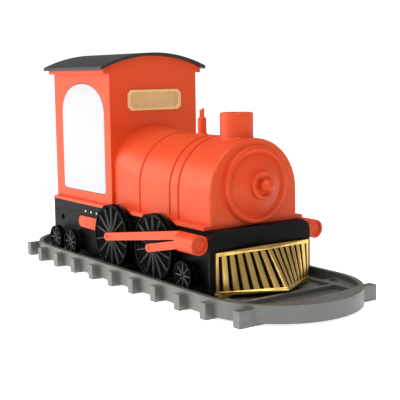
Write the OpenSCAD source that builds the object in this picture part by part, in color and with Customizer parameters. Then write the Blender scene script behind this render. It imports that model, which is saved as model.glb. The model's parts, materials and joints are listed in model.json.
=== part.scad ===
// Toy steam locomotive standing in its own display track base.
// The locomotive faces +X and +Z is up. The origin is on the table, under the middle of the base.
// The -Y side is the locomotive's right side, which carries the keys and the power inlet.

/* [Track base] */
// Overall length of the track base
base_len = 277; // [275:1:290]
// Width across the outer wall of the base
base_w = 92; // [91:1:94]
// Height of the wall's top edge above the table
base_h = 10.6; // [10:0.2:11.4]
// Thickness of the wall round the base
base_wall = 2.8; // [2:0.2:3.2]
// Length of a sleeper from end to end
sleeper_len = 100; // [98:1:104]
// Distance from one sleeper to the next
sleeper_pitch = 23.5; // [22:0.5:24]

/* [Wheels] */
// Diameter of a driving wheel
driver_d = 38.4; // [37.6:0.2:38.8]
// Diameter of a small carrying wheel
small_d = 16.2; // [15:0.2:17]
// Width of a wheel's tread
tread_w = 4.4; // [3.8:0.2:5.8]
// Number of spokes in a driving wheel
driver_spokes = 14; // [10:1:16]
// Number of spokes in a small wheel
small_spokes = 8; // [6:1:10]

/* [Cab] */
// Width of the cab
cab_w = 64; // [62:0.5:64]
// Length of the cab
cab_len = 74.3; // [73:0.5:76]
// Width of an arched side window
window_w = 56.4; // [50:0.4:58]
// Height of the top of the roof above the table
roof_top = 136.6; // [134:0.2:140]

/* [Boiler] */
// Width of the boiler casing
boiler_w = 60; // [56:0.5:60]
// Diameter of the chimney
chimney_d = 18.6; // [17:0.2:20]
// Outer diameter of the smokebox door's rim
door_d = 42.8; // [40:0.4:42.8]

/* [Hidden] */
$fn = 64;
eps = 0.01;

// Track base
deck_z = 5.2;
deck_t = 1.8;
wall_foot = 1.4;
sleeper_w = 5;
sleeper_h = 8.6;
sleeper_count = 11;
end_sleeper_len = sleeper_len - 6.6;
base_end_x = (base_len - base_w) / 2;
rail_y = 35.5;
rail_w = 3.6;
rail_z = 6.7;
cross_wall_x = 100.8;
cross_wall_t = 2.8;
side_ledge_x = 91;
side_ledge_y = 31.5;
side_ledge_z = 7.7;
front_ledge_x = 126.5;
front_ledge_r = 105;
slot_x = 95;
slot_y = 38.6;
slot_size = [5, 5];

// Wheels and axles
wheel_clear = 0.05;
wheel_face_y = 39.1;
driver_z = rail_z + wheel_clear + driver_d / 2;
small_z = rail_z + wheel_clear + small_d / 2;
driver_x = [-17.2, 29.9];
rear_small_x = [-92.2, -71.1];
front_small_x = 59.7;
axle_r = 1.5;
axle_half = wheel_face_y - 0.8;
axle_bore_r = 1.55;

// Chassis
chassis_rear = -110;
chassis_front = 78;
chassis_half = 32;
chassis_foot = 9.5;
chassis_wall = 2;
chassis_corner = 5;
board_z = 40.6;
cover_t = 1.8;
cover_gap = 0.2;
cover_post_x = [-82, 45];
cover_post_y = 22;
post_r = 3;
screw_r = 1;
screw_head_r = 2;
screw_head_h = 1;
cover_screw_len = 9;
wire_hole_x = -62;
wire_hole = [34, 30];

// Keys, indicators and power inlet, all on the -Y side
key_x = -53.8;
key_z = 28.6;
key_pitch = 10.2;
key_h = 7.6;
key_gap = 0.2;
key_proud = 1.2;
key_travel = 0.8;
key_back_gap = 0.05;
key_flange_t = 0.9;
key_flange_rim = 0.8;
key_count = 3;
lens_z = 35.6;
lens_pitch = 7.3;
lens_r = 0.7;
inlet_x = -93.5;
inlet_z = 28.3;
inlet_r = 2;
key_board_y = -25.2;
pcb_t = 1.6;

// Running board, cab and roof
running_rear = -100.5;
running_front = 74;
running_half = 34.5;
running_t = 2;
shell_z = board_z + running_t;
arch_r = 18.7;
arch_lip = 0.6;
arch_gap_r = 23;
cab_rear = running_rear;
cab_front = cab_rear + cab_len;
cab_half = cab_w / 2;
cab_wall = 2;
roof_r = 92.9;
roof_t = 2;
roof_half = 38.6;
roof_rear = cab_rear - 2.6;
roof_front = cab_front + 2.5;
roof_axis_z = roof_top - roof_r;
cornice_foot = 123.8;
cornice_half = 36;
window_x = (cab_rear + cab_front) / 2 + 1.6;
window_foot = 48.6;
window_spring = 98.5;
window_rise = 19.5;
window_power = 2.15;
window_corner = 3;
window_gap = 0.25;
window_flange = 1.6;
window_flange_t = 1;
plate_size = [38.8, 12.8];
plate_z = 107.2;
plate_t = 1.4;
plate_border = 1.4;
plate_clip = 2.2;

// Boiler
boiler_r = boiler_w / 2;
boiler_axis_z = 57.8;
boiler_front = 74.2;
boiler_wall = 2.2;
boiler_round = 1.2;
flare_rise = 24.3;
flare_axis_z = 67.2;
groove_x = [3.6, 35.5, 44.1];
groove_w = 1.2;
groove_depth = 0.6;
door_z = 62.5;
door_rim_r = 2;
door_base_t = 1.2;
dome_r = 29.8;
dome_rise = 5.6;
boss_r = 7.7;
boss_cup_r = 5.6;
boss_front = 83.2;
knob_r = 3.8;
knob_x = 85.2;
chimney_x = 58.7;
chimney_top = 101.4;
chimney_bore_r = 6.3;
chimney_round = 1.4;
whistle_x = 25.6;
whistle_base = [3.2, 89.2];
whistle_body = [2.3, 96.2];
whistle_dome = 1.6;

// Front plate and cowcatcher
plate_front = 80.2;
plate_half = 34.9;
plate_foot = 8;
plate_corner = 5.8;
guard_out = [81.7, 32, 29.5];
guard_top = [85.4, 0, 30.7];
guard_foot = [81.7, 32, 7.2];
guard_nose = [102.2, 0, 9];
guard_t = 1.4;
guard_edge = 0.3;
guard_rail_proud = 0.2;
slot_count = 7;
slat_fill = 0.55;

// Steam cylinders and rods
cyl_r = 5.3;
cyl_y = 40.3;
cyl_z = 34.2;
cyl_rear = 62.1;
cyl_front = 78.7;
cyl_cup_r = 4.1;
rod_w = 4.6;
rod_y = [39.6, 42];
long_rod_z = 37.6;
short_rod_z = 32.7;
rod_pin_r = 0.9;

// Screws that hold the cab and the boiler down
cab_screw_x = [-93, -34];
boiler_screw_x = [6, 64];
cab_screw_y = 26.4;
boiler_screw_y = 24.4;
shell_screw_len = 7.5;
shell_post_h = 4.2;

// Lamp inside the cab
lamp_board = [52, pcb_t, 56];
lamp_foot = 46;
led = [2.8, 1, 2.8];

// Extrude a Y-Z outline along X
module along_x(x0, x1) {
    translate([x0, 0, 0]) rotate([90, 0, 90]) linear_extrude(x1 - x0) children();
}

// Extrude an X-Z outline along Y
module along_y(y0, y1) {
    translate([0, y1, 0]) rotate([90, 0, 0]) linear_extrude(y1 - y0) children();
}

// Round bar along Y
module bar_y(x, z, r, y0, y1) {
    along_y(y0, y1) translate([x, z]) circle(r);
}

// Round bar along X
module bar_x(y, z, r, x0, x1) {
    along_x(x0, x1) translate([y, z]) circle(r);
}

// Keep a right-hand piece, or mirror it to the left side
module on_side(side) {
    mirror([0, side == "left" ? 1 : 0, 0]) children();
}

// ---- Track base ----

module stadium(r) {
    square([2 * base_end_x, 2 * r], center = true);
    for (s = [-1, 1]) translate([s * base_end_x, 0]) circle(r);
}

module inside_base(z0, z1) {
    intersection() {
        translate([0, 0, z0]) linear_extrude(z1 - z0) stadium(base_w / 2 - base_wall + 0.4);
        children();
    }
}

function sleeper_span(i) = i == 0 || i == sleeper_count - 1 ? end_sleeper_len : sleeper_len;

module sleepers() {
    difference() {
        for (i = [0 : sleeper_count - 1])
            translate([(i - (sleeper_count - 1) / 2) * sleeper_pitch, 0, sleeper_h / 2])
                cube([sleeper_w, sleeper_span(i), sleeper_h], center = true);
        translate([0, 0, deck_z - deck_t / 2]) linear_extrude(sleeper_h) stadium(base_w / 2 - base_wall);
    }
}

module track_base() {
    color("#a3a39f") {
        translate([0, 0, wall_foot]) linear_extrude(base_h - wall_foot) difference() {
            stadium(base_w / 2);
            stadium(base_w / 2 - base_wall);
        }
        translate([0, 0, deck_z - deck_t]) linear_extrude(deck_t) stadium(base_w / 2 - base_wall / 2);
        sleepers();
        // The two rails that the wheels stand on
        for (s = [-1, 1])
            translate([-base_end_x, s * rail_y - rail_w / 2, deck_z - deck_t / 2])
                cube([base_end_x + cross_wall_x, rail_w, rail_z - deck_z + deck_t / 2]);
        // Back wall, side ledges and front ledge of the pocket in front of the locomotive
        inside_base(deck_z - deck_t / 2, side_ledge_z)
            translate([cross_wall_x, -side_ledge_y - 1, 0])
                cube([cross_wall_t, 2 * side_ledge_y + 2, base_h]);
        inside_base(deck_z - deck_t / 2, side_ledge_z) difference() {
            for (s = [-1, 1])
                translate([side_ledge_x, s > 0 ? side_ledge_y : -base_w / 2, 0])
                    cube([front_ledge_x - side_ledge_x, base_w / 2 - side_ledge_y, base_h]);
            for (s = [-1, 1])
                translate([slot_x, s * slot_y, deck_z + base_h / 2])
                    cube([slot_size.x, slot_size.y, base_h], center = true);
        }
        inside_base(deck_z - deck_t / 2, base_h) difference() {
            translate([base_end_x, -base_w / 2, 0]) cube([base_w / 2, base_w, base_h]);
            translate([front_ledge_x - front_ledge_r, 0, 0])
                cylinder(r = front_ledge_r, h = base_h, $fn = 256);
        }
    }
}

// ---- Chassis ----

module chassis_plan(inset) {
    r = chassis_corner - inset;
    half = chassis_half - inset;
    translate([chassis_rear + chassis_corner, -half])
        square([chassis_front - inset - chassis_rear - chassis_corner, 2 * half]);
    translate([chassis_rear + inset, -half + r]) square([chassis_corner, 2 * (half - r)]);
    for (s = [-1, 1])
        translate([chassis_rear + chassis_corner, s * (half - r)]) circle(r);
}

module key_slot(grow) {
    w = key_count * key_pitch + 2 * grow;
    h = key_h + 2 * key_gap + 2 * grow;
    translate([key_x - w / 2 + h / 2, key_z - h / 2]) square([w - h, h]);
    for (s = [-1, 1]) translate([key_x + s * (w - h) / 2, key_z]) circle(h / 2);
}

module axle_bores() {
    for (x = driver_x) bar_y(x, driver_z, axle_bore_r, -chassis_half - 1, chassis_half + 1);
    for (x = concat(rear_small_x, [front_small_x]))
        bar_y(x, small_z, axle_bore_r, -chassis_half - 1, chassis_half + 1);
}

module shell_screw_places() {
    for (s = [-1, 1]) {
        for (x = cab_screw_x) translate([x, s * cab_screw_y, 0]) children();
        for (x = boiler_screw_x) translate([x, s * boiler_screw_y, 0]) children();
    }
}

module cover_screw_places() {
    for (x = cover_post_x, s = [-1, 1]) translate([x, s * cover_post_y, 0]) children();
}

module chassis() {
    top = board_z - chassis_wall;
    post_foot = chassis_foot + cover_t + cover_gap;
    color("#26282a") difference() {
        union() {
            difference() {
                translate([0, 0, chassis_foot]) linear_extrude(board_z - chassis_foot) chassis_plan(0);
                translate([0, 0, chassis_foot - 1]) linear_extrude(top - chassis_foot + 1)
                    chassis_plan(chassis_wall);
            }
            // Posts for the cover's screws
            cover_screw_places() translate([0, 0, post_foot]) cylinder(r = post_r, h = top + 1 - post_foot);
            // Ribs that carry the control board
            for (s = [-1, 1])
                translate([key_x + s * 18.6 - 1, -chassis_half + 1, key_z - 7])
                    cube([2, key_board_y + chassis_half - 1, 14]);
        }
        axle_bores();
        cover_screw_places() cylinder(r = screw_r, h = post_foot + cover_screw_len);
        shell_screw_places() translate([0, 0, top - 1]) cylinder(r = screw_r + 0.1, h = chassis_wall + 2);
        translate([wire_hole_x - wire_hole.x / 2, -wire_hole.y / 2, top - 1])
            cube([wire_hole.x, wire_hole.y, chassis_wall + 2]);
        along_y(-chassis_half - 1, -chassis_half + chassis_wall + eps) key_slot(0);
        bar_y(inlet_x, inlet_z, inlet_r, -chassis_half - 1, -chassis_half + chassis_wall + 1);
        for (i = [-1 : 1])
            bar_y(key_x + i * lens_pitch, lens_z, lens_r, -chassis_half - 1,
                  -chassis_half + chassis_wall + 1);
    }
}

module chassis_cover() {
    color("#1d1f20") difference() {
        translate([0, 0, chassis_foot]) linear_extrude(cover_t) chassis_plan(chassis_wall + cover_gap);
        cover_screw_places() {
            translate([0, 0, chassis_foot - 1]) cylinder(r = screw_r + 0.2, h = cover_t + 2);
            translate([0, 0, chassis_foot - 1]) cylinder(r = screw_head_r + 0.2, h = screw_head_h + 1);
        }
    }
}

module screw(head_z, length) {
    difference() {
        union() {
            translate([0, 0, head_z]) cylinder(r = screw_head_r, h = screw_head_h);
            translate([0, 0, head_z + screw_head_h / 2]) cylinder(r = screw_r, h = length);
        }
        // Cross recess for the driver
        for (a = [0, 90])
            rotate(a) translate([-1.2, -0.25, head_z - 0.1]) cube([2.4, 0.5, 0.6]);
    }
}

module cover_screws() {
    color("silver") cover_screw_places() screw(chassis_foot, cover_screw_len);
}

module shell_screws() {
    color("silver") shell_screw_places() screw(board_z - chassis_wall - screw_head_h, shell_screw_len);
}

module front_plate() {
    color("#202224") along_x(chassis_front, plate_front) {
        translate([-plate_half, plate_foot]) square([2 * plate_half, board_z - plate_corner - plate_foot]);
        translate([-plate_half + plate_corner, plate_foot])
            square([2 * (plate_half - plate_corner), board_z - plate_foot]);
        for (s = [-1, 1])
            translate([s * (plate_half - plate_corner), board_z - plate_corner]) circle(plate_corner);
    }
}

// ---- Cowcatcher ----

function between(a, b, t) = a + (b - a) * t;
// Point on one face of the plough: t runs from the outer edge to the nose, u from top to bottom
function guard_point(t, u) =
    between(between(guard_out, guard_top, t), between(guard_foot, guard_nose, t), u);

module guard_patch(t0, t1, u0, u1, proud = 0) {
    hull() for (t = [t0, t1], u = [u0, u1])
        translate(guard_point(t, u) + [proud - guard_t, -guard_edge / 2, -guard_edge / 2])
            cube([guard_t, guard_edge, guard_edge]);
}

module guard_face() {
    // Slats between the slots, with half a slat at the outer edge and at the nose
    for (i = [0 : slot_count])
        guard_patch(max(0, (i - slat_fill / 2) / slot_count), min(1, (i + slat_fill / 2) / slot_count),
                    0.02, 0.98);
    guard_patch(0, 1, 0, 0.08, guard_rail_proud);
    guard_patch(0, 1, 0.93, 1, guard_rail_proud);
}

module cowcatcher() {
    back = plate_front;
    color("#d7a850") {
        for (s = [0, 1]) mirror([0, s, 0]) {
            guard_face();
            // Outer cheek that meets the front plate
            translate([back, guard_out.y - 1.6, guard_foot.z]) cube([guard_out.x - back, 1.6, 22.3]);
            // Tab under the outer corner
            translate([back, guard_out.y - 8, deck_z + 0.5]) cube([3, 8, guard_foot.z - deck_z]);
        }
        // Web that ties the plough to the front plate
        hull() {
            translate([back, -guard_out.y, guard_foot.z]) cube([1, 2 * guard_out.y, 1.4]);
            translate([guard_nose.x - guard_t, -0.5, guard_nose.z]) cube([1, 1, 1]);
        }
        translate([back, -1, guard_top.z - 3]) cube([guard_top.x - guard_t / 2 - back, 2, 2.5]);
    }
}

// ---- Running board, cab and roof ----

module boiler_outline(inset) {
    r = boiler_r - inset;
    translate([-r, shell_z - 1]) square([2 * r, boiler_axis_z - shell_z + 1]);
    translate([0, boiler_axis_z]) circle(r);
}

module running_board() {
    color("#f0603a") difference() {
        union() {
            translate([running_rear, -running_half, board_z])
                cube([running_front - running_rear, 2 * running_half, running_t]);
            // Raised lip over each driving wheel
            for (x = driver_x) intersection() {
                bar_y(x, driver_z, arch_r + arch_lip, -cab_half, cab_half);
                translate([x - 2 * arch_r, -running_half, board_z]) cube([4 * arch_r, 2 * running_half, 20]);
            }
        }
        // Room for the wheels: an arch beside the boiler, and a wider gap in the board's outer edge
        for (x = driver_x, s = [-1, 1]) on_side(s > 0 ? "left" : "right") {
            bar_y(x, driver_z, arch_r, -running_half - 1, -boiler_r);
            bar_y(x, driver_z, arch_gap_r, -running_half - 1, -cab_half);
        }
        // The cab and the boiler stand on the board, inside the lips
        translate([cab_rear - 1, -cab_half, shell_z]) cube([cab_len + 1, cab_w, 20]);
        along_x(cab_front - eps, boiler_front + 1) difference() {
            boiler_outline(0);
            translate([-cab_w, 0]) square([2 * cab_w, shell_z]);
        }
        shell_screw_places() translate([0, 0, board_z - 1]) cylinder(r = screw_r + 0.1, h = running_t + 2);
        translate([wire_hole_x - wire_hole.x / 2, -wire_hole.y / 2, board_z - 1])
            cube([wire_hole.x, wire_hole.y, running_t + 2]);
    }
}

// Outline of the arched window: a straight foot with round corners under a rounded arch
module window_outline(grow) {
    half = window_w / 2 + grow;
    rise = window_rise + grow;
    corner = window_corner + grow;
    foot = window_foot - grow;
    arch = [for (a = [0 : 5 : 180])
        [half * sign(cos(a)) * pow(abs(cos(a)), 2 / window_power), rise * pow(sin(a), 2 / window_power)]];
    translate([window_x, window_spring]) polygon(arch);
    translate([window_x - half, foot + corner]) square([2 * half, window_spring - foot - corner]);
    translate([window_x - half + corner, foot]) square([2 * (half - corner), corner + 1]);
    for (s = [-1, 1]) translate([window_x + s * (half - corner), foot + corner]) circle(corner);
}

module under_roof(half) {
    intersection() {
        translate([-half, shell_z]) square([2 * half, roof_top - shell_z]);
        translate([0, roof_axis_z]) circle(roof_r - roof_t);
    }
}

module cab_shell() {
    color("#f0603a") difference() {
        union() {
            difference() {
                along_x(cab_rear, cab_front) under_roof(cab_half);
                translate([cab_rear + cab_wall, -cab_half + cab_wall, shell_z - 1])
                    cube([cab_len - 2 * cab_wall, cab_w - 2 * cab_wall, roof_top - shell_z]);
            }
            for (s = [-1, 1], x = cab_screw_x)
                translate([x, s * cab_screw_y, shell_z]) cylinder(r = post_r + 0.8, h = shell_post_h);
        }
        for (s = [-1, 1])
            along_y(s > 0 ? cab_half - cab_wall - eps : -cab_half - 1,
                    s > 0 ? cab_half + 1 : -cab_half + cab_wall + eps) window_outline(0);
        shell_screw_places() translate([0, 0, shell_z - 1]) cylinder(r = screw_r, h = shell_post_h);
    }
}

module roof() {
    color("#4c4c4a") along_x(roof_rear, roof_front) intersection() {
        translate([0, roof_axis_z]) difference() {
            circle(roof_r, $fn = 128);
            circle(roof_r - roof_t, $fn = 128);
        }
        translate([-roof_half, cornice_foot]) square([2 * roof_half, roof_top]);
    }
}

module cornice(side) {
    color("#f0603a") on_side(side) along_x(cab_rear, cab_front) intersection() {
        translate([-cornice_half, cornice_foot]) square([cornice_half - cab_half, roof_top - cornice_foot]);
        translate([0, roof_axis_z]) circle(roof_r - roof_t, $fn = 128);
    }
}

module window(side) {
    outer = -cab_half;
    inner = -cab_half + cab_wall;
    color("#f2f2f6") on_side(side) {
        along_y(outer, inner) window_outline(-window_gap);
        along_y(inner, inner + window_flange_t) window_outline(window_flange);
    }
}

module plate_outline(inset) {
    w = plate_size.x / 2 - inset;
    h = plate_size.y / 2 - inset;
    c = plate_clip;
    polygon([[-w + c, -h], [w - c, -h], [w, -h + c], [w, h - c],
             [w - c, h], [-w + c, h], [-w, h - c], [-w, -h + c]]);
}

module name_plate() {
    color("#e0b878") difference() {
        along_x(cab_front, cab_front + plate_t) translate([0, plate_z]) plate_outline(0);
        along_x(cab_front + plate_t - 0.5, cab_front + plate_t + 1)
            translate([0, plate_z]) plate_outline(plate_border);
    }
}

// ---- Boiler ----

// Thin slice of the casing, whose top is a half ellipse of the given height
module casing_slice(x, axis_z, rise) {
    along_x(x, x + eps) {
        translate([-boiler_r, shell_z - 1]) square([boiler_w, axis_z - shell_z + 1]);
        translate([0, axis_z]) scale([1, rise / boiler_r]) circle(boiler_r);
    }
}

// Casing next to the cab, which rises and fills out towards the cab
module boiler_flare() {
    hull() {
        casing_slice(cab_front, flare_axis_z, flare_rise);
        casing_slice(groove_x[0] - eps, boiler_axis_z, boiler_r);
    }
}

module boiler_body() {
    flat = boiler_front - boiler_round;
    boiler_flare();
    along_x(cab_front, flat) boiler_outline(0);
    along_x(flat - 1, boiler_front) boiler_outline(boiler_round);
    // Rounded front edge, over the top and down both sides
    intersection() {
        translate([flat, 0, boiler_axis_z]) rotate([0, 90, 0]) rotate_extrude()
            translate([boiler_r - boiler_round, 0]) circle(boiler_round);
        translate([flat - boiler_round, -boiler_w, boiler_axis_z])
            cube([2 * boiler_round, 2 * boiler_w, 2 * boiler_r]);
    }
    for (s = [-1, 1])
        translate([flat, s * (boiler_r - boiler_round), shell_z - 1])
            cylinder(r = boiler_round, h = boiler_axis_z - shell_z + 1);
}

module boiler_shell() {
    color("#f4683f") difference() {
        union() {
            difference() {
                boiler_body();
                along_x(cab_front - 1, boiler_front - boiler_wall - 1) boiler_outline(boiler_wall);
            }
            for (s = [-1, 1], x = boiler_screw_x)
                translate([x, s * boiler_screw_y, shell_z]) cylinder(r = post_r + 0.8, h = shell_post_h);
        }
        translate([cab_front - 1, -boiler_w, 0]) cube([boiler_front - cab_front + 10, 2 * boiler_w, shell_z]);
        for (x = groove_x)
            along_x(x - groove_w / 2, x + groove_w / 2) difference() {
                boiler_outline(-1);
                boiler_outline(groove_depth);
            }
        shell_screw_places() translate([0, 0, shell_z - 1]) cylinder(r = screw_r, h = shell_post_h);
    }
}

module door_axis() {
    translate([boiler_front, 0, door_z]) rotate([0, 90, 0]) children();
}

module door_dome() {
    translate([0, 0, door_base_t + dome_rise - dome_r]) sphere(dome_r, $fn = 128);
}

module smokebox_door() {
    rim = door_d / 2 - door_rim_r;
    color("#ee5f38") door_axis() {
        cylinder(r = rim, h = door_base_t);
        intersection() {
            translate([0, 0, door_base_t]) rotate_extrude() translate([rim, 0]) circle(door_rim_r);
            cylinder(r = door_d, h = 10);
        }
        intersection() {
            door_dome();
            cylinder(r = rim - door_rim_r / 2, h = door_base_t + dome_rise + 1);
        }
    }
}

module door_boss() {
    length = boss_front - boiler_front;
    color("#f4683f") door_axis() difference() {
        cylinder(r = boss_r, h = length);
        translate([0, 0, length - 1.2]) cylinder(r = boss_cup_r, h = 2);
        door_dome();
        cylinder(r = boss_r + 1, h = door_base_t);
    }
}

module door_knob() {
    seat = boss_front - 1.2 - boiler_front;
    color("#f4683f") door_axis() {
        translate([0, 0, seat]) cylinder(r = 2.2, h = 1.6);
        intersection() {
            translate([0, 0, knob_x - boiler_front]) sphere(knob_r);
            translate([0, 0, seat]) cylinder(r = knob_r + 1, h = 2 * knob_r + 1);
        }
    }
}

module boiler_solid() {
    along_x(cab_front, boiler_front - boiler_round) boiler_outline(0);
}

module chimney() {
    r = chimney_d / 2;
    rounded = chimney_top - chimney_round;
    color("#f4683f") difference() {
        translate([chimney_x, 0, 0]) union() {
            translate([0, 0, boiler_axis_z]) cylinder(r = r, h = rounded - boiler_axis_z);
            translate([0, 0, rounded - 1]) cylinder(r = r - chimney_round, h = chimney_round + 1);
            translate([0, 0, rounded]) rotate_extrude()
                translate([r - chimney_round, 0]) circle(chimney_round);
        }
        translate([chimney_x, 0, boiler_axis_z]) cylinder(r = chimney_bore_r, h = 60);
        boiler_solid();
    }
}

module whistle() {
    color("#f4683f") difference() {
        translate([whistle_x, 0, 0]) {
            for (part = [whistle_base, whistle_body])
                translate([0, 0, boiler_axis_z]) cylinder(r = part[0], h = part[1] - boiler_axis_z);
            translate([0, 0, whistle_body[1]]) intersection() {
                sphere(whistle_body[0]);
                cylinder(r = whistle_body[0] + 1, h = whistle_dome);
            }
        }
        boiler_solid();
    }
}

module whistle_pipes() {
    foot = whistle_body[1] + whistle_dome;
    color("#a8402c") for (p = [[-1.1, 4.2], [1.1, 5.1]])
        translate([whistle_x + p.x, 0, foot]) cylinder(r = 0.8, h = p.y);
}

// ---- Cylinders and rods ----

module cylinder_casting(side) {
    color("#f0603a") on_side(side) difference() {
        union() {
            bar_x(-cyl_y, cyl_z, cyl_r, cyl_rear, cyl_front);
            // Lug that joins the cylinder to the chassis side
            translate([cyl_rear + 2, -cyl_y, cyl_z - 3]) cube([11, cyl_y - chassis_half, 6]);
        }
        bar_x(-cyl_y, cyl_z, cyl_cup_r, cyl_front - 1, cyl_front + 1);
    }
}

// Flat bar with a round end at its pivot, cut off at the back of the cylinder
module rod(side, x, z, end_z) {
    length = norm([cyl_rear - x, end_z - z]);
    color("#f4785a") on_side(side) along_y(-rod_y[1], -rod_y[0]) difference() {
        translate([x, z]) rotate(atan2(end_z - z, cyl_rear - x)) {
            circle(rod_w / 2);
            translate([0, -rod_w / 2]) square([length + 2, rod_w]);
        }
        translate([cyl_rear, 0]) square([20, 60]);
        translate([x, z]) circle(rod_pin_r);
    }
}

module rod_pins(side) {
    color("#c9472a") on_side(side) for (x = driver_x) {
        bar_y(x, driver_z, rod_pin_r, -rod_y[1], -rod_y[0]);
        bar_y(x, driver_z, rod_pin_r + 0.5, -rod_y[1] - 0.4, -rod_y[1]);
    }
}

// ---- Wheels ----

module wheel(side, x, z, d, spokes, hub_r, rim) {
    r = d / 2;
    inner = -wheel_face_y + tread_w;
    sunk = 1.4;
    color("#1e2021") on_side(side) translate([x, 0, z]) difference() {
        union() {
            difference() {
                bar_y(0, 0, r, -wheel_face_y, inner);
                bar_y(0, 0, r - rim, -wheel_face_y - 1, -wheel_face_y + sunk);
            }
            bar_y(0, 0, hub_r, -wheel_face_y, -wheel_face_y + sunk + 0.5);
            for (i = [0 : spokes - 1])
                rotate([0, i * 360 / spokes, 0])
                    translate([-rim / 4, -wheel_face_y + 0.2, hub_r / 2])
                        cube([rim / 2, sunk, r - rim / 2 - hub_r / 2]);
        }
        bar_y(0, 0, axle_r, -wheel_face_y + 0.8, inner + 1);
    }
}

module driver_wheel(side, x) {
    wheel(side, x, driver_z, driver_d, driver_spokes, 4, 1.8);
}

module small_wheel(side, x) {
    wheel(side, x, small_z, small_d, small_spokes, 2.4, 1.3);
}

module axle(x, z) {
    color("silver") bar_y(x, z, axle_r, -axle_half, axle_half);
}

// ---- Keys, indicators and power inlet ----

module key_window(i) {
    w = key_pitch - key_gap;
    edge = key_x + i * key_pitch;
    translate([edge - w / 2, key_z - key_h]) square([w, 2 * key_h]);
}

module key(i) {
    face = -chassis_half - key_proud;
    back = -chassis_half + chassis_wall + key_back_gap;
    color("#f0643c") {
        along_y(face, back + key_flange_t / 2) intersection() {
            key_slot(-key_gap);
            key_window(i);
        }
        // Flange behind the wall that keeps the key in
        along_y(back, back + key_flange_t) intersection() {
            key_slot(key_flange_rim);
            key_window(i);
        }
    }
}

module key_switches() {
    plunger = -chassis_half + chassis_wall + key_back_gap + key_flange_t + key_travel + 0.15;
    body = key_board_y - 1.8;
    color("#303030") for (i = [-1 : 1]) translate([key_x + i * key_pitch, 0, key_z]) {
        bar_y(0, 0, 1.5, plunger, body + 0.5);
        translate([-3, body, -3]) cube([6, key_board_y - body, 6]);
    }
}

module control_board() {
    color("#1f6b3a") translate([key_x - 22, key_board_y, key_z - 7]) cube([44, pcb_t, 14]);
}

module indicator_lenses() {
    color("#f4f4f4") for (i = [-1 : 1])
        bar_y(key_x + i * lens_pitch, lens_z, lens_r, -chassis_half - 0.2, -chassis_half + chassis_wall);
}

module power_inlet() {
    back = -chassis_half + chassis_wall;
    color("#2a2a2a") difference() {
        translate([inlet_x - 4, back, inlet_z - 3.5]) cube([8, 11, 7]);
        bar_y(inlet_x, inlet_z, inlet_r, back - 1, back + 9);
    }
    color("silver") bar_y(inlet_x, inlet_z, 0.65, back + 1, back + 9.5);
}

// ---- Lamp inside the cab ----

module lamp_board_node() {
    color("#e8e8e2") translate([window_x - lamp_board.x / 2, -lamp_board.y / 2, lamp_foot])
        cube(lamp_board);
}

module lamp_leds() {
    color("#f6e9a0") for (s = [-1, 1], i = [-1 : 1], k = [0 : 2])
        translate([window_x + i * 16 - led.x / 2, s > 0 ? pcb_t / 2 : -pcb_t / 2 - led.y,
                   lamp_foot + 12 + k * 16])
            cube(led);
}

module board_clips() {
    color("#3a3c3e") for (s = [-1, 1]) difference() {
        translate([window_x + s * 21 - 3, -20, shell_z]) cube([6, 40, 7]);
        translate([window_x + s * 21 - 4, -pcb_t / 2, lamp_foot]) cube([8, pcb_t, 10]);
    }
}

track_base();
chassis();
chassis_cover();
cover_screws();
shell_screws();
front_plate();
cowcatcher();
running_board();
cab_shell();
roof();
cornice("left");  // cornice_left
cornice("right");  // cornice_right
window("left");  // window_left
window("right");  // window_right
name_plate();
boiler_shell();
smokebox_door();
door_boss();
door_knob();
chimney();
whistle();
whistle_pipes();
cylinder_casting("left");  // cylinder_left
cylinder_casting("right");  // cylinder_right
rod("left", driver_x[0], driver_z, long_rod_z);  // long_rod_left
rod("right", driver_x[0], driver_z, long_rod_z);  // long_rod_right
rod("left", driver_x[1], driver_z, short_rod_z);  // short_rod_left
rod("right", driver_x[1], driver_z, short_rod_z);  // short_rod_right
rod_pins("left");  // rod_pins_left
rod_pins("right");  // rod_pins_right
driver_wheel("left", driver_x[1]);  // front_driver_left
driver_wheel("right", driver_x[1]);  // front_driver_right
axle(driver_x[1], driver_z);  // front_driver_axle
driver_wheel("left", driver_x[0]);  // rear_driver_left
driver_wheel("right", driver_x[0]);  // rear_driver_right
axle(driver_x[0], driver_z);  // rear_driver_axle
small_wheel("left", front_small_x);  // front_wheel_left
small_wheel("right", front_small_x);  // front_wheel_right
axle(front_small_x, small_z);  // front_axle
small_wheel("left", rear_small_x[1]);  // middle_wheel_left
small_wheel("right", rear_small_x[1]);  // middle_wheel_right
axle(rear_small_x[1], small_z);  // middle_axle
small_wheel("left", rear_small_x[0]);  // rear_wheel_left
small_wheel("right", rear_small_x[0]);  // rear_wheel_right
axle(rear_small_x[0], small_z);  // rear_axle
key(1);  // key_front
key(0);  // key_middle
key(-1);  // key_rear
key_switches();
control_board();
indicator_lenses();
power_inlet();
lamp_board_node();  // lamp_board
lamp_leds();
board_clips();
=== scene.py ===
"""The looks of a toy steam locomotive in its display track base.

Everything is in metres, in the frame of the CAD model: +X is the locomotive's front, +Y its left
and +Z up. Sizes written in millimetres are multiplied by MM.
"""
import json
import math

import bmesh
import bpy
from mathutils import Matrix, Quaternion, Vector


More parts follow.
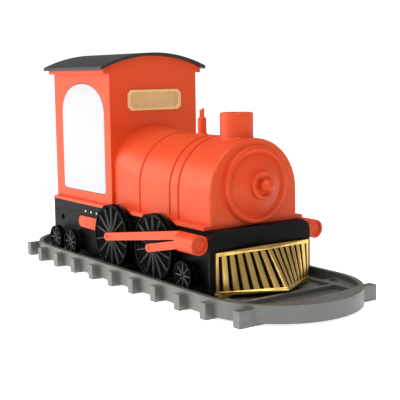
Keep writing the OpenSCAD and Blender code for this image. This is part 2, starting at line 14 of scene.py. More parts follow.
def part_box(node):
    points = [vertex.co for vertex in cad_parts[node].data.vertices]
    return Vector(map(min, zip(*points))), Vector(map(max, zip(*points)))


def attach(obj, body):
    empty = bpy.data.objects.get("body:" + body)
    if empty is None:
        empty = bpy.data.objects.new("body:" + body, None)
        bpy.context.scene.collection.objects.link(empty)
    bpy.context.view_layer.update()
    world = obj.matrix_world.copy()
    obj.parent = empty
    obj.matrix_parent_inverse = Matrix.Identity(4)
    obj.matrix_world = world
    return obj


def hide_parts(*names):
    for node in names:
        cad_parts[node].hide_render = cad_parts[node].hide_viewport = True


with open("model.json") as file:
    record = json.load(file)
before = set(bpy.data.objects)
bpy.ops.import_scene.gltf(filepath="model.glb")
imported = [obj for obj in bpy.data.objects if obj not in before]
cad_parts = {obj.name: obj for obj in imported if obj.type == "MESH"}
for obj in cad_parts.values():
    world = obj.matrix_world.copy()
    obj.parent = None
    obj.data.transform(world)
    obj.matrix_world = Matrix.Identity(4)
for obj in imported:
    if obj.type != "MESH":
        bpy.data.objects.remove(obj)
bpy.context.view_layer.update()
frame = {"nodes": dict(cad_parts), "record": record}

MM = 0.001
SCENE = bpy.context.scene
NODES = frame["nodes"]
SLOT_OF = {part["node"]: part["material_slot"] for part in frame["record"]["subparts"]}
BODY_OF = {
    node: body
    for body, members in frame["record"]["behaviour"]["bodies"].items()
    for node in members
}
# The turn that carries +Z to each axis that a piece is turned about
AXES = {
    "X": Quaternion((0, 1, 0), math.radians(90)),
    "-Y": Quaternion((1, 0, 0), math.radians(90)),
    "+Y": Quaternion((1, 0, 0), math.radians(-90)),
}


# ---- Camera, light and floor ----

CAMERA_PLACE = Vector((0.46123, -0.30847, 0.12308))
CAMERA_AZIMUTH = math.radians(54.87)
CAMERA_PITCH = math.radians(6.03)
CAMERA_ROLL = math.radians(-0.90)
CAMERA_LENS = 82.28
CAMERA_SHIFT = -0.075
LIGHT_TARGET = Vector((0, 0, 0.06))
FLOOR_SIZE = 12.0
FLOOR_GLOW = 0.78
AMBIENT = 0.36
BACKDROP = 1.1


def direction(azimuth, elevation):
    """Unit vector towards an azimuth, where 0 is -Y and 90 degrees is +X."""
    flat = math.cos(elevation)
    return Vector((math.sin(azimuth) * flat, -math.cos(azimuth) * flat, math.sin(elevation)))


def link(obj):
    SCENE.collection.objects.link(obj)
    return obj


def make_camera():
    data = bpy.data.cameras.new("camera")
    data.sensor_width = 36
    data.lens = CAMERA_LENS
    data.shift_y = CAMERA_SHIFT
    data.clip_start = 0.01
    camera = link(bpy.data.objects.new("camera", data))
    camera.location = CAMERA_PLACE
    camera.rotation_mode = "QUATERNION"
    level = (-direction(CAMERA_AZIMUTH, CAMERA_PITCH)).to_track_quat("-Z", "Y")
    camera.rotation_quaternion = level @ Quaternion((0, 0, 1), CAMERA_ROLL)
    SCENE.camera = camera


def softbox(name, azimuth, elevation, distance, size, power):
    """Area light at an azimuth and elevation in degrees, aimed at the object's middle."""
    data = bpy.data.lights.new(name, "AREA")
    data.shape = "RECTANGLE"
    data.size, data.size_y = size
    data.energy = power
    light = link(bpy.data.objects.new(name, data))
    aim = direction(math.radians(azimuth), math.radians(elevation))
    light.location = aim * distance + LIGHT_TARGET
    light.rotation_mode = "QUATERNION"
    light.rotation_quaternion = (-aim).to_track_quat("-Z", "Y")


def make_world():
    """White surroundings, which look BACKDROP bright and light the object with AMBIENT."""
    world = bpy.data.worlds.new("studio")
    SCENE.world = world
    world.use_nodes = True
    tree = world.node_tree
    background = tree.nodes["Background"]
    background.inputs["Color"].default_value = (1, 1, 1, 1)
    seen = tree.nodes.new("ShaderNodeLightPath")
    strength = tree.nodes.new("ShaderNodeMapRange")
    strength.inputs["To Min"].default_value = AMBIENT
    strength.inputs["To Max"].default_value = BACKDROP
    tree.links.new(seen.outputs["Is Camera Ray"], strength.inputs["Value"])
    tree.links.new(strength.outputs["Result"], background.inputs["Strength"])


def make_studio():
    SCENE.view_settings.view_transform = "Standard"
    make_world()
    softbox("key_light", -42, 16, 1.1, (0.8, 0.5), 5.6)
    softbox("top_light", 0, 72, 1.0, (0.9, 0.6), 5)
    softbox("front_light", 60, 54, 1.0, (0.3, 0.3), 1.2)
    mesh = bpy.data.meshes.new("floor")
    half = FLOOR_SIZE / 2
    corners = [(-half, -half, 0), (half, -half, 0), (half, half, 0), (-half, half, 0)]
    mesh.from_pydata(corners, [], [(0, 1, 2, 3)])
    floor = link(bpy.data.objects.new("floor", mesh))
    paint = bpy.data.materials.new("pale_floor")
    paint.use_nodes = True
    shader = paint.node_tree.nodes["Principled BSDF"]
    shader.inputs["Base Color"].default_value = (0.95, 0.95, 0.95, 1)
    shader.inputs["Roughness"].default_value = 0.6
    shader.inputs["Emission Color"].default_value = (1, 1, 1, 1)
    shader.inputs["Emission Strength"].default_value = FLOOR_GLOW
    mesh.materials.append(paint)


# ---- Materials ----

class Shader:
    """A material under construction, with short calls for the nodes that it needs."""

    def __init__(self, name):
        self.material = bpy.data.materials.new(name)
        self.material.use_nodes = True
        self.tree = self.material.node_tree
        self.bsdf = self.tree.nodes["Principled BSDF"]
        self.place = self.node("ShaderNodeTexCoord").outputs["Object"]

    def node(self, kind, **settings):
        made = self.tree.nodes.new(kind)
        for key, value in settings.items():
            setattr(made, key, value)
        return made

    def wire(self, source, socket):
        self.tree.links.new(source, socket)

    def fill(self, socket, value):
        if isinstance(value, bpy.types.NodeSocket):
            self.wire(value, socket)
        else:
            socket.default_value = value

    def noise(self, size, detail=2.0, roughness=0.5, stretch=None):
        """Noise whose lumps are about size metres across."""
        place = self.place
        if stretch:
            mapping = self.node("ShaderNodeMapping")
            mapping.inputs["Scale"].default_value = stretch
            self.wire(place, mapping.inputs["Vector"])
            place = mapping.outputs["Vector"]
        made = self.node("ShaderNodeTexNoise")
        made.inputs["Scale"].default_value = 1 / size
        made.inputs["Detail"].default_value = detail
        made.inputs["Roughness"].default_value = roughness
        self.wire(place, made.inputs["Vector"])
        return made.outputs["Fac"]

    def spread(self, value, low, high, to_low=0.0, to_high=1.0):
        made = self.node("ShaderNodeMapRange")
        for key, number in (("From Min", low), ("From Max", high), ("To Min", to_low), ("To Max", to_high)):
            made.inputs[key].default_value = number
        self.wire(value, made.inputs["Value"])
        return made.outputs["Result"]

    def math(self, operation, a, b):
        made = self.node("ShaderNodeMath", operation=operation)
        self.fill(made.inputs[0], a)
        self.fill(made.inputs[1], b)
        return made.outputs[0]

    def mix(self, amount, a, b):
        made = self.node("ShaderNodeMix", data_type="RGBA")
        self.fill(made.inputs["Factor"], amount)
        for key, colour in (("A", a), ("B", b)):
            socket = next(s for s in made.inputs if s.name == key and s.type == "RGBA")
            self.fill(socket, colour if isinstance(colour, bpy.types.NodeSocket) else (*colour, 1))
        return next(s for s in made.outputs if s.type == "RGBA")

    def edge(self):
        """1 along the pieces' rounded edges and 0 elsewhere."""
        return self.node("ShaderNodeAttribute", attribute_name="edge").outputs["Fac"]

    def bump(self, height, depth):
        made = self.node("ShaderNodeBump")
        made.inputs["Distance"].default_value = depth
        made.inputs["Strength"].default_value = 1.0
        self.wire(height, made.inputs["Height"])
        self.wire(made.outputs["Normal"], self.bsdf.inputs["Normal"])


def shade(colour, factor):
    return tuple(min(1.0, channel * factor) for channel in colour)


def moulded(name, colour, roughness, specular=0.5, mottle=0.08, grain=0.35 * MM, depth=0.02 * MM,
            scuff_and_light_paint=None, scuff_and_light_range=(0.0, 0.5), tint=(1, 1, 1)):
    """Moulded plastic: fine grain, soft mottling, faint flow marks, and rounded edges painted in a colour
    of their own in noisy patches: partly scuffs and partly painted highlight, paler than the body on most
    looks.
    """
    s = Shader(name)
    clouds = s.noise(14 * MM, detail=3)
    specks = s.noise(0.9 * MM, detail=2)
    body = s.mix(s.spread(clouds, 0.3, 0.7), shade(colour, 1 - mottle), shade(colour, 1 + mottle))
    body = s.mix(s.spread(specks, 0.55, 0.8, 0, 0.35), body, shade(colour, 1 - 2 * mottle))
    # Painted highlight and scuffs: the rounded edges, in noisy patches, take the edge colour, which on most
    # looks is paler than the body.
    scuff_and_light_edges = s.math("MULTIPLY", s.edge(), s.spread(s.noise(3 * MM, detail=4), 0.4, 0.62, *scuff_and_light_range))
    body = s.mix(scuff_and_light_edges, body, scuff_and_light_paint or shade(colour, 1.35))
    s.wire(body, s.bsdf.inputs["Base Color"])
    streaks = s.noise(5 * MM, detail=2, stretch=(0.35, 0.35, 2.2))
    gloss = s.spread(streaks, 0.3, 0.7, roughness - 0.05, roughness + 0.06)
    s.wire(s.math("ADD", gloss, s.math("MULTIPLY", scuff_and_light_edges, -0.08)), s.bsdf.inputs["Roughness"])
    s.bsdf.inputs["Specular IOR Level"].default_value = specular
    s.bsdf.inputs["Specular Tint"].default_value = (*tint, 1)
    s.bump(s.noise(grain, detail=3, roughness=0.6), depth)
    return s.material


def gilt(name, colour, dark, roughness, grain, depth, tarnish=0.6, metallic=1.0):
    """Brass-coloured metal finish: fine brushing, darker stains, and bright edges that are partly scuffs
    and partly painted highlight.
    """
    s = Shader(name)
    stains = s.noise(6 * MM, detail=4, stretch=(1, 1, 0.3))
    body = s.mix(s.spread(stains, 0.4, 0.72, 0, tarnish), colour, dark)
    # Painted highlight and scuffs: the rounded edges, in noisy patches, are painted 1.3 times brighter.
    scuff_and_light_edges = s.math("MULTIPLY", s.edge(), s.spread(s.noise(1.5 * MM, detail=3), 0.35, 0.6, 0, 0.4))
    body = s.mix(scuff_and_light_edges, body, shade(colour, 1.3))
    s.wire(body, s.bsdf.inputs["Base Color"])
    s.bsdf.inputs["Metallic"].default_value = metallic
    s.wire(s.spread(stains, 0.35, 0.7, roughness - 0.06, roughness + 0.12), s.bsdf.inputs["Roughness"])
    s.bump(s.noise(grain, detail=3, stretch=(1, 1, 0.25)), depth)
    return s.material


def steel(name):
    """Bright turned steel with fine rings of tool marks."""
    s = Shader(name)
    marks = s.noise(1.2 * MM, detail=3, stretch=(1, 6, 1))
    s.wire(s.mix(marks, (0.42, 0.42, 0.44), (0.62, 0.62, 0.64)), s.bsdf.inputs["Base Color"])
    s.bsdf.inputs["Metallic"].default_value = 1.0
    s.wire(s.spread(marks, 0.3, 0.7, 0.22, 0.4), s.bsdf.inputs["Roughness"])
    s.bump(marks, 0.01 * MM)
    return s.material


def make_materials():
    """Every look by name. A node's look is the one that is named after its material slot."""
    return {
        # Each look's edge colour is painted along its rounded edges, in noisy patches: partly scuffs and
        # partly painted highlight.
        "orange_plastic": moulded(
            "orange_plastic", (0.76, 0.064, 0.014), 0.44, specular=0.5, mottle=0.035,
            scuff_and_light_paint=(0.84, 0.14, 0.055), tint=(0.96, 0.82, 0.5)),
        "black_plastic": moulded(
            "black_plastic", (0.0055, 0.0056, 0.0056), 0.45, specular=0.09, mottle=0.15,
            scuff_and_light_paint=(0.05, 0.05, 0.052)),
        # A darker copy of the black plastic: painted shade in the deep wheel dishes. Its much paler edge
        # colour, laid on strongly, paints a lit line along the rims and fillets: a painted highlight.
        "wheel_black_shaded": moulded(
            "wheel_black_shaded", (0.0012, 0.0012, 0.0015), 0.65, specular=0.03, mottle=0.15,
            scuff_and_light_paint=(0.10, 0.10, 0.103), scuff_and_light_range=(0.35, 0.9)),
        # A paler copy of the black plastic: painted highlight on the spokes, paler still on their crests.
        "spoke_black_lit": moulded(
            "spoke_black_lit", (0.085, 0.085, 0.087), 0.5, specular=0.2, mottle=0.12,
            scuff_and_light_paint=(0.17, 0.17, 0.172)),
        "roof_plastic": moulded(
            "roof_plastic", (0.013, 0.0125, 0.012), 0.52, specular=0.5, mottle=0.15,
            grain=0.7 * MM, depth=0.05 * MM, scuff_and_light_paint=(0.03, 0.028, 0.027)),
        "base_plastic": moulded(
            "base_plastic", (0.09, 0.095, 0.083), 0.4, specular=1.3, mottle=0.06,
            grain=0.6 * MM, depth=0.04 * MM, scuff_and_light_paint=(0.42, 0.42, 0.41)),
        # Its rounded edges are painted an even dark reddish brown all round.
        "white_panel": moulded(
            "white_panel", (0.62, 0.62, 0.64), 0.4, specular=0.3, mottle=0.004,
            scuff_and_light_paint=(0.16, 0.10, 0.09), scuff_and_light_range=(1.0, 1.0)),
        "brass_trim": gilt(
            "brass_trim", (0.86, 0.57, 0.17), (0.42, 0.24, 0.07), 0.3, 0.5 * MM, 0.03 * MM),
        "plate_brass": gilt(
            "plate_brass", (0.90, 0.64, 0.30), (0.72, 0.47, 0.19), 0.4, 0.6 * MM, 0.05 * MM,
            tarnish=0.3, metallic=0.3),
        # The recessed field is darker than the border: it stands in for the texture of the lettering that
        # is left out, and is partly painted shade in the recess.
        "plate_field": gilt(
            "plate_field", (0.74, 0.50, 0.22), (0.60, 0.39, 0.16), 0.5, 0.35 * MM, 0.12 * MM,
            tarnish=0.4, metallic=0.3),
        "steel": steel("steel"),
        "circuit_board": moulded("circuit_board", (0.02, 0.13, 0.05), 0.3, mottle=0.1),
        "lamp_board_white": moulded("lamp_board_white", (0.72, 0.72, 0.68), 0.3, mottle=0.02),
        "led_cap": moulded("led_cap", (0.8, 0.66, 0.2), 0.25, mottle=0.03),
        "lens": moulded("lens", (0.8, 0.8, 0.8), 0.2, mottle=0.02),
    }


# ---- Mesh tools ----

WELD = 0.002 * MM
FLAT = math.radians(0.6)
BEVEL_SEGMENTS = 2
BEVEL_SLOT = 1
BEVELLED = math.radians(30)
CREASED = math.radians(50)
FACING = 0.99
TURNED_STEPS = 128


def finish_piece(obj, slot, body, replaced=()):
    """Give a piece the material of its record slot if it has none yet, attach it to its body, and hide the
    CAD nodes that it stands for.
    """
    if not obj.data.materials:
        obj.data.materials.append(MATERIALS[slot])
    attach(obj, body)
    if replaced:
        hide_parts(*replaced)
    return obj


def apply_modifiers(obj):
    """Make the modified shape the object's own mesh."""
    graph = bpy.context.evaluated_depsgraph_get()
    mesh = bpy.data.meshes.new_from_object(obj.evaluated_get(graph), preserve_all_data_layers=True,
                                           depsgraph=graph)
    obj.modifiers.clear()
    obj.data = mesh


def mark_edges(obj):
    """Set the edge attribute to 1 on the vertices in the middle of the bevels."""
    mesh = obj.data
    inside = [True] * len(mesh.vertices)
    for face in mesh.polygons:
        if face.material_index != BEVEL_SLOT:
            for index in face.vertices:
                inside[index] = False
        face.material_index = 0
    attribute = mesh.attributes.new("edge", "FLOAT", "POINT")
    attribute.data.foreach_set("value", [float(flag) for flag in inside])


def bevel_and_shade(obj, width):
    """Round the sharp edges by width, if any, and shade flat faces flat and bevels round."""
    if width:
        for _ in range(BEVEL_SLOT + 1):
            obj.data.materials.append(None)
        bevel = obj.modifiers.new("round", "BEVEL")
        bevel.width = width
        bevel.segments = BEVEL_SEGMENTS
        bevel.limit_method = "ANGLE"
        bevel.angle_limit = BEVELLED
        bevel.material = BEVEL_SLOT
        bevel.miter_outer = "MITER_ARC"
        apply_modifiers(obj)
        mark_edges(obj)
        obj.data.materials.clear()
    obj.data.polygons.foreach_set("use_smooth", [True] * len(obj.data.polygons))
    obj.data.set_sharp_from_angle(angle=CREASED)
    normals = obj.modifiers.new("normals", "WEIGHTED_NORMAL")
    normals.keep_sharp = True
    apply_modifiers(obj)


def soften(node, width):
    """A copy of a CAD node with its edges rounded by width mm, shown in the node's place."""
    grid = bmesh.new()
    grid.from_mesh(NODES[node].data)
    bmesh.ops.remove_doubles(grid, verts=grid.verts, dist=WELD)
    bmesh.ops.dissolve_limit(grid, angle_limit=FLAT, verts=grid.verts, edges=grid.edges)
    mesh = bpy.data.meshes.new(node + "_skin")
    grid.to_mesh(mesh)
    grid.free()
    mesh.materials.clear()
    obj = link(bpy.data.objects.new(node + "_skin", mesh))
    bevel_and_shade(obj, width * MM)
    return finish_piece(obj, SLOT_OF[node], BODY_OF[node], [node])


def paint_recess(obj, material, axis, depth):
    """Give the faces that look along an axis and lie depth below the highest one their own look."""
    obj.data.materials.append(material)
    top = max(vertex.co[axis] for vertex in obj.data.vertices)
    for face in obj.data.polygons:
        if face.normal[axis] > FACING and face.center[axis] < top - depth:
            face.material_index = 1


def rounded(points, steps=4):
    """Turn profile points (along, radius, fillet) into (along, radius, edge), with arcs for the fillets."""
    profile = []
    for index, (along, radius, fillet) in enumerate(points):
        if not fillet:
            profile.append((along, radius, 0))
            continue
        corner = Vector((along, radius))
        back, ahead = (Vector(points[index + step][:2]) - corner for step in (-1, 1))
        half = back.angle(ahead) / 2
        reach = min(fillet / math.tan(half), 0.49 * back.length, 0.49 * ahead.length)
        middle = corner + (back.normalized() + ahead.normalized()).normalized() * reach / math.cos(half)
        start = corner + back.normalized() * reach - middle
        turn = start.angle_signed(corner + ahead.normalized() * reach - middle)
        for step in range(steps + 1):
            angle = -turn * step / steps
            spot = middle + Vector((start.x * math.cos(angle) - start.y * math.sin(angle),
                                    start.x * math.sin(angle) + start.y * math.cos(angle)))
            profile.append((spot.x, spot.y, int(0 < step < steps)))
    return profile


def shell(name, rings, edges):
    """Mesh through rings of points, with an edge value for each. A ring of one point closes its end."""
    grid = bmesh.new()
    # Edge value of each vertex: 1 where the look paints its edge colour, partly scuffs and partly painted
    # highlight.
    scuff_and_light_paint = grid.verts.layers.float.new("edge")
    rows = []
    for ring, edge in zip(rings, edges):
        rows.append([grid.verts.new(point) for point in ring])
        for vert in rows[-1]:
            vert[scuff_and_light_paint] = edge
    for low, high in zip(rows, rows[1:]):
        count = max(len(low), len(high))
        for i in range(count):
            j = (i + 1) % count
            corners = [low[i % len(low)], low[j % len(low)], high[j % len(high)], high[i % len(high)]]
            grid.faces.new(list(dict.fromkeys(corners)))
    bmesh.ops.recalc_face_normals(grid, faces=grid.faces)
    mesh = bpy.data.meshes.new(name)
    grid.to_mesh(mesh)
    grid.free()
    return link(bpy.data.objects.new(name, mesh))


def lathe(name, centre, axis, profile):
    """Turned piece. The profile is in mm: (distance along the axis from the centre, radius, edge)."""
    turn = AXES[axis]
    rings = []
    for along, radius, _ in profile:
        steps = TURNED_STEPS if radius > 0 else 1
        angles = [2 * math.pi * step / steps for step in range(steps)]
        rings.append([centre + turn @ Vector((radius * math.cos(a), radius * math.sin(a), along)) * MM
                      for a in angles])
    obj = shell(name, rings, [edge for _, _, edge in profile])
    bevel_and_shade(obj, 0)
    return obj


def middle_of(node):
    low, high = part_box(node)
    return (Vector(low) + Vector(high)) / 2


# ---- Wheels, in mm ----

# Spoke count, width of the rim, radius of the hub, depth of the dish, and a spoke's width at hub and rim
DRIVER = {"spokes": 14, "ring": 0.95, "hub": 2.3, "deep": 1.5, "bar": (0.95, 0.75)}
SMALL = {"spokes": 8, "ring": 0.85, "hub": 1.6, "deep": 1.2, "bar": (0.85, 0.7)}
SINK = 0.3
FLANGE_RISE = 0.12
FLANGE_W = 1.0
FLANGE_SLOPE = 0.2
BORE_R = 1.5
BORE_END = 0.79
DISH_SLOPE = 0.5
SPOKE_STEPS = 6
SPOKE_ROOT = 0.15
SPOKE_FOOT = 0.35
SPOKE_CREST = 0.12


def make_wheel(node, kind):
    """A flanged wheel with a deep dish, and its spokes as a piece of their own."""
    low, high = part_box(node)
    side = "-Y" if high[1] < 0 else "+Y"
    face = low[1] if side == "-Y" else high[1]
    width = (high[1] - low[1]) / MM
    radius = (high[2] - low[2]) / MM / 2
    centre = Vector(((low[0] + high[0]) / 2, face, (low[2] + high[2]) / 2))
    tread = radius - FLANGE_RISE
    dish = tread - kind["ring"]
    deep = -kind["deep"]
    profile = rounded([
        (-SINK, 0, 0), (-SINK, kind["hub"] * 0.75, 0.5),
        (deep, kind["hub"], 0.3), (deep, dish - DISH_SLOPE, 0.3),
        (0, dish, 0.2), (0, tread, 0.3),
        (FLANGE_W + FLANGE_SLOPE - width, tread, 0.1), (FLANGE_W - width, radius, 0.1),
        (-width, radius, 0.3), (-width, BORE_R, 0),
        (-BORE_END, BORE_R, 0), (-BORE_END, 0, 0)], steps=3)
    wheel = lathe(node + "_turned", centre, side, profile)
    # The turned wheel is shown in the darker copy of the black plastic: painted shade.
    wheel.data.materials.append(MATERIALS["wheel_black_shaded"])
    finish_piece(wheel, "black_plastic", BODY_OF[node], [node])

    spokes = spoke_star(node + "_spokes", centre, AXES[side] @ Vector((0, 0, 1)), kind, dish)
    # The spokes are shown in the paler copy of the black plastic: painted highlight.
    spokes.data.materials.append(MATERIALS["spoke_black_lit"])
    finish_piece(spokes, "black_plastic", BODY_OF[node])


def spoke_outline(bar, deep):
    """Round-topped section of a spoke, as (sideways, height), from one foot to the other."""
    foot = deep + SPOKE_FOOT
    outline = [(-bar / 2, deep - SPOKE_ROOT)]
    for step in range(SPOKE_STEPS + 1):
        arc = math.pi * step / SPOKE_STEPS
        outline.append((-bar / 2 * math.cos(arc), foot + (-SINK - foot) * math.sin(arc)))
    outline.append((bar / 2, deep - SPOKE_ROOT))
    return outline


def spoke_star(name, centre, up, kind, dish):
    """All the spokes of a wheel, tapered from the hub to the rim."""
    grid = bmesh.new()
    scuff_and_light_paint = grid.verts.layers.float.new("edge")
    hub_bar, rim_bar = kind["bar"]
    for index in range(kind["spokes"]):
        heading = 2 * math.pi * index / kind["spokes"]
        out = Vector((math.sin(heading), 0, math.cos(heading)))
        across = Vector((math.cos(heading), 0, -math.sin(heading)))
        ends = []
        for reach, bar in ((kind["hub"] * 0.7, hub_bar), (dish - SPOKE_ROOT, rim_bar)):
            row = []
            for sideways, height in spoke_outline(bar, -kind["deep"]):
                row.append(grid.verts.new(centre + (out * reach + across * sideways + up * height) * MM))
                # Each spoke's crest gets edge value 1, so its look paints it paler still: a painted
                # highlight.
                row[-1][scuff_and_light_paint] = float(height > -SINK - SPOKE_CREST)
            ends.append(row)
        hub_end, rim_end = ends
        count = len(hub_end)
        for i in range(count):
            j = (i + 1) % count
            grid.faces.new((hub_end[i], hub_end[j], rim_end[j], rim_end[i]))
        grid.faces.new(hub_end)
        grid.faces.new(rim_end)
    bmesh.ops.recalc_face_normals(grid, faces=grid.faces)
    mesh = bpy.data.meshes.new(name)
    grid.to_mesh(mesh)
    grid.free()
    obj = link(bpy.data.objects.new(name, mesh))
    bevel_and_shade(obj, 0)
    return obj


# ---- Smokebox door, in mm ----

RIM_TUBE = 2.0
RIM_STEPS = 12
RIM_START = 0.86
DOOR_BASE = 1.2
DOME_STEPS = 14
DOME_MARGIN = 1.9
DOME_FILLET = 2.6
BOSS_ROOT = 2.2
BOSS_CUP = 0.9
KNOB_ROOT = 1.2
KNOB_NECK_R = 2.2
KNOB_STEPS = 12
KNOB_TURN = 140


def make_door():
    """Domed door with a round rim, a cupped boss and a knob, all about one axis."""
    low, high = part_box("smokebox_door")
    centre = Vector((low[0], 0, (low[2] + high[2]) / 2))
    outer = (high[2] - low[2]) / 2 / MM
    rise = (high[0] - low[0]) / MM
    rim = outer - RIM_TUBE
    dome = ((rim - 1) ** 2 + (rise - DOOR_BASE) ** 2) / (2 * (rise - DOOR_BASE))
    points = [(rise, 0, 0)]
    for step in range(1, DOME_STEPS + 1):
        radius = (rim - DOME_MARGIN) * step / DOME_STEPS
        fillet = DOME_FILLET if step == DOME_STEPS else 0
        points.append((rise - dome + math.sqrt(dome ** 2 - radius ** 2), radius, fillet))
    for step in range(1, RIM_STEPS + 1):
        arc = math.pi * (RIM_START - RIM_START * step / RIM_STEPS)
        points.append((DOOR_BASE + RIM_TUBE * math.sin(arc), rim + RIM_TUBE * math.cos(arc), 0))
    points += [(0.25, outer, 0.2), (0, outer + 0.2, 0), (0, 0, 0)]
    door = lathe("smokebox_door_turned", centre, "X", rounded(points))
    finish_piece(door, "orange_plastic", "locomotive", ["smokebox_door"])

    front = (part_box("door_boss")[1][0] - low[0]) / MM
    radius = (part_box("door_boss")[1][2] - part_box("door_boss")[0][2]) / 2 / MM
    boss = lathe("door_boss_turned", centre, "X", rounded([
        (rise - BOSS_ROOT, 0, 0), (rise - BOSS_ROOT, radius + 0.5, 0),
        (rise - 0.75, radius, 0.35), (front, radius, 0.9),
        (front, radius - 2.1, 0.7), (front - BOSS_CUP, radius - 3.1, 0.6),
        (front - BOSS_CUP, 0, 0)]))
    finish_piece(boss, "orange_plastic", "locomotive", ["door_boss"])

    tip = (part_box("door_knob")[1][0] - low[0]) / MM
    ball = (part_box("door_knob")[1][2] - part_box("door_knob")[0][2]) / 2 / MM
    points = [(front - KNOB_ROOT, 0, 0), (front - KNOB_ROOT, KNOB_NECK_R + 0.2, 0),
              (front - 0.8, KNOB_NECK_R, 0.2)]
    for step in range(KNOB_STEPS):
        arc = math.radians(KNOB_TURN - KNOB_TURN * step / KNOB_STEPS)
        points.append((tip - ball + ball * math.cos(arc), ball * math.sin(arc), 0))
    points.append((tip, 0, 0))
    knob = lathe("door_knob_turned", centre, "X", rounded(points))
    finish_piece(knob, "orange_plastic", "locomotive", ["door_knob"])


# ---- Boiler casing, chimney and whistle, in mm ----

BOILER_TOP = 87.8
BOILER_SIDE_STEPS = 12
BOILER_TOP_STEPS = 72
GROOVES = (3.6, 35.5, 44.1)
GROOVE_HALF = 0.9
GROOVE_DEPTH = 1.1
GROOVE_STEPS = 6
FRONT_ROUND = 1.2
FRONT_STEPS = 5
FLARE_RISE = 24.3
FLARE_STEPS = 16
STACK_STEPS = 96
STACK_FOOT_STEPS = 6
STACK_SEAT = 2
STACK_SINK = 0.02
CHIMNEY_BORE_R = 6.3


def casing_stations(back, flare_end, front):
    """Where the casing's rings stand, as (x, inset, edge): flare, three grooves and rounded front."""
    stations = [(back + (flare_end - back) * step / FLARE_STEPS, 0, 0) for step in range(FLARE_STEPS)]
    for groove in GROOVES:
        for step in range(GROOVE_STEPS + 1):
            across = 2 * step / GROOVE_STEPS - 1
            stations.append((groove + GROOVE_HALF * across, GROOVE_DEPTH * (1 - across ** 4), 0))
    for step in range(FRONT_STEPS + 1):
        arc = math.pi / 2 * step / FRONT_STEPS
        back_off = FRONT_ROUND * (1 - math.sin(arc))
        inset = FRONT_ROUND * (1 - math.cos(arc))
        stations.append((front - back_off, inset, int(0 < step < FRONT_STEPS)))
    return stations


def make_boiler():
    """Boiler casing: a round top on straight sides, rising towards the cab, with three rounded grooves."""
    low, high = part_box("boiler_shell")
    half = (high[1] - low[1]) / 2 / MM
    foot, back, front = low[2] / MM, low[0] / MM, high[0] / MM
    axis, crown = BOILER_TOP - half, high[2] / MM
    flare_end = GROOVES[0] - GROOVE_HALF
    rows, edges = [[Vector((back, 0, axis)) * MM]], [0]
    for x, inset, edge in casing_stations(back, flare_end, front):
        share = max(0.0, (flare_end - x) / (flare_end - back))
        rise = half + (FLARE_RISE - half) * share
        middle = axis + (crown - FLARE_RISE - axis) * share
        side = [foot + (middle - foot) * step / BOILER_SIDE_STEPS for step in range(BOILER_SIDE_STEPS)]
        ring = [(-half + inset, z) for z in side]
        for step in range(BOILER_TOP_STEPS + 1):
            angle = math.pi * (1 - step / BOILER_TOP_STEPS)
            ring.append(((half - inset) * math.cos(angle), middle + (rise - inset) * math.sin(angle)))
        ring += [(half - inset, z) for z in reversed(side)]
        rows.append([Vector((x, y, z)) * MM for y, z in ring])
        edges.append(edge)
    rows.append([Vector((front, 0, axis)) * MM])
    casing = shell("boiler_casing", rows, [*edges, 0])
    bevel_and_shade(casing, 0)
    finish_piece(casing, "orange_plastic", "locomotive", ["boiler_shell"])


def stack_on_boiler(name, node, skirt, fillet, wall):
    """Round stack whose foot follows the boiler's top. The wall is a profile of (height, radius, edge)."""
    x = middle_of(node)[0]
    low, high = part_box("boiler_shell")
    boiler = (high[1] - low[1]) / 2
    top = BOILER_TOP * MM
    foot = []
    for step in range(STACK_FOOT_STEPS + 1):
        arc = math.pi / 2 * step / STACK_FOOT_STEPS
        foot.append((fillet * (1 - math.cos(arc)), skirt + fillet * (1 - math.sin(arc)), 0))
    rows, edges = [[Vector((x, 0, top - STACK_SEAT * MM))]], [0]
    for on_boiler, (height, radius, edge) in [(True, r) for r in foot] + [(False, r) for r in wall]:
        count = STACK_STEPS if radius > 0 else 1
        row = []
        for step in range(count):
            angle = 2 * math.pi * step / count
            y = radius * MM * math.sin(angle)
            z = height * MM
            if on_boiler:
                z += top - boiler + math.sqrt(boiler ** 2 - y ** 2) - STACK_SINK * MM
            row.append(Vector((x + radius * MM * math.cos(angle), y, z)))
        rows.append(row)
        edges.append(edge)
    obj = shell(name, rows, edges)
    bevel_and_shade(obj, 0)
    return obj


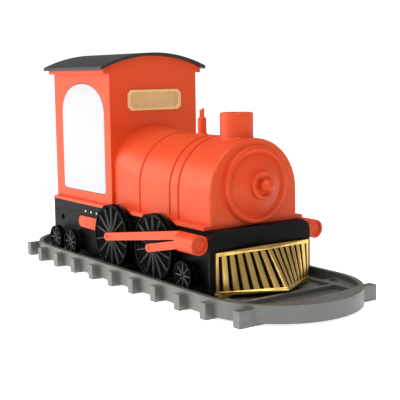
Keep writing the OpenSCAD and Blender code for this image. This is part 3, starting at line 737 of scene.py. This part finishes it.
def make_stacks():
    """The open chimney and the domed whistle."""
    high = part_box("chimney")[1][2] / MM
    radius = (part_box("chimney")[1][0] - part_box("chimney")[0][0]) / 2 / MM
    floor = BOILER_TOP - STACK_SINK
    wall = rounded([
        (high - 6, radius, 0), (high, radius, 0.9), (high, CHIMNEY_BORE_R, 0.7),
        (floor, CHIMNEY_BORE_R, 0), (floor, 0, 0)])
    chimney = stack_on_boiler("chimney_turned", "chimney", radius, 1.1, wall)
    finish_piece(chimney, "orange_plastic", "locomotive", ["chimney"])

    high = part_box("whistle")[1][2] / MM
    radius = (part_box("whistle")[1][0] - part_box("whistle")[0][0]) / 2 / MM
    stem = radius - 0.6
    wall = rounded([(high - 7, stem, 0), (high, stem, 1.6), (high, 0, 0)])
    whistle = stack_on_boiler("whistle_turned", "whistle", stem, 1.4, wall)
    finish_piece(whistle, "orange_plastic", "locomotive", ["whistle"])


# ---- The whole model ----

# Radius of the rounded edges of each CAD node that is shown as a softened copy, in mm
SOFT_EDGES = {
    "track_base": 0.5, "chassis": 0.4, "chassis_cover": 0.3, "front_plate": 0.5, "running_board": 0.45,
    "cab_shell": 0.6, "roof": 0.5, "cornice_left": 0.4, "cornice_right": 0.4, "window_left": 0.25,
    "window_right": 0.25, "name_plate": 0.3, "cylinder_left": 0.8, "cylinder_right": 0.8,
    "long_rod_left": 0.7, "long_rod_right": 0.7, "short_rod_left": 0.7, "short_rod_right": 0.7,
    "key_front": 0.3, "key_middle": 0.3, "key_rear": 0.3, "cowcatcher": 0.15,
}
PLATE_RECESS = 0.2 * MM

make_camera()
MATERIALS = make_materials()
make_studio()

for node in NODES:
    if "wheel" in node or node.endswith(("driver_left", "driver_right")):
        make_wheel(node, DRIVER if "driver" in node else SMALL)
make_boiler()
make_door()
make_stacks()

for node, width in SOFT_EDGES.items():
    skin = soften(node, width)
    if node == "name_plate":
        # The plate's recessed faces take the darker field look: partly painted shade.
        paint_recess(skin, MATERIALS["plate_field"], 0, PLATE_RECESS)

for node, obj in NODES.items():
    if not obj.hide_render:
        obj.data.materials.clear()
        obj.data.materials.append(MATERIALS[SLOT_OF[node]])
